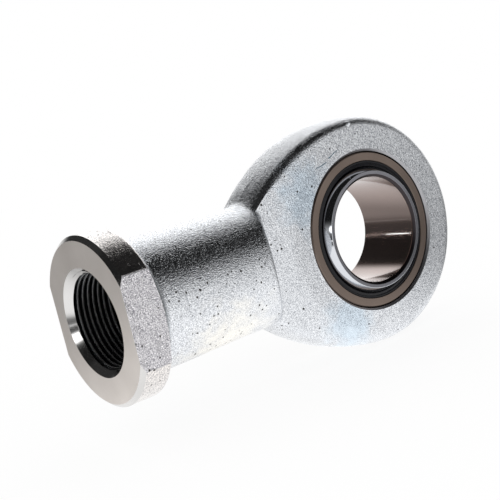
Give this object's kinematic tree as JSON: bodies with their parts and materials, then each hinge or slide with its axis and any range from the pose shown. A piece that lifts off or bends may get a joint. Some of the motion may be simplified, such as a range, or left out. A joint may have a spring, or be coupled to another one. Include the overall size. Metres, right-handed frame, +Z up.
{
  "type": "rod end bearing",
  "caption": "Female rod end: a forged eye on a threaded shank with spanner flats, holding a sealed spherical plain bearing that tilts for a pin.",
  "frame": {"origin": "centre of the ball, which is the middle of the pin's bore", "axes": "Y along the pin's bore, front face towards -Y; the shank runs towards -X and its threaded mouth faces -X; +Z up"},
  "size_m": [0.241, 0.075, 0.132],
  "materials": {
    "plated_forging": "zinc-plated forged skin, fine grained, with turned faces at the mouth",
    "bearing_steel": "satin, brownish surface-treated bearing steel",
    "sliding_layer": "matt woven low-friction layer",
    "chromed_ball": "hard-chromed mirror outside, fine-ground bore",
    "seal_rubber": "black, satin"
  },
  "bodies": {
    "housing": {"rod_end_housing": "plated_forging", "bearing_outer_ring": "bearing_steel", "sliding_liner": "sliding_layer", "seal_front": "seal_rubber", "seal_rear": "seal_rubber"},
    "ball": {"inner_ring": "chromed_ball"}
  },
  "joints": [
    {"name": "ball_tilt", "type": "hinge", "parent": "housing", "child": "ball", "pos_m": [0, 0, 0], "axis": [0, 0, 1], "range_deg": [-6, 6]}
  ]
}
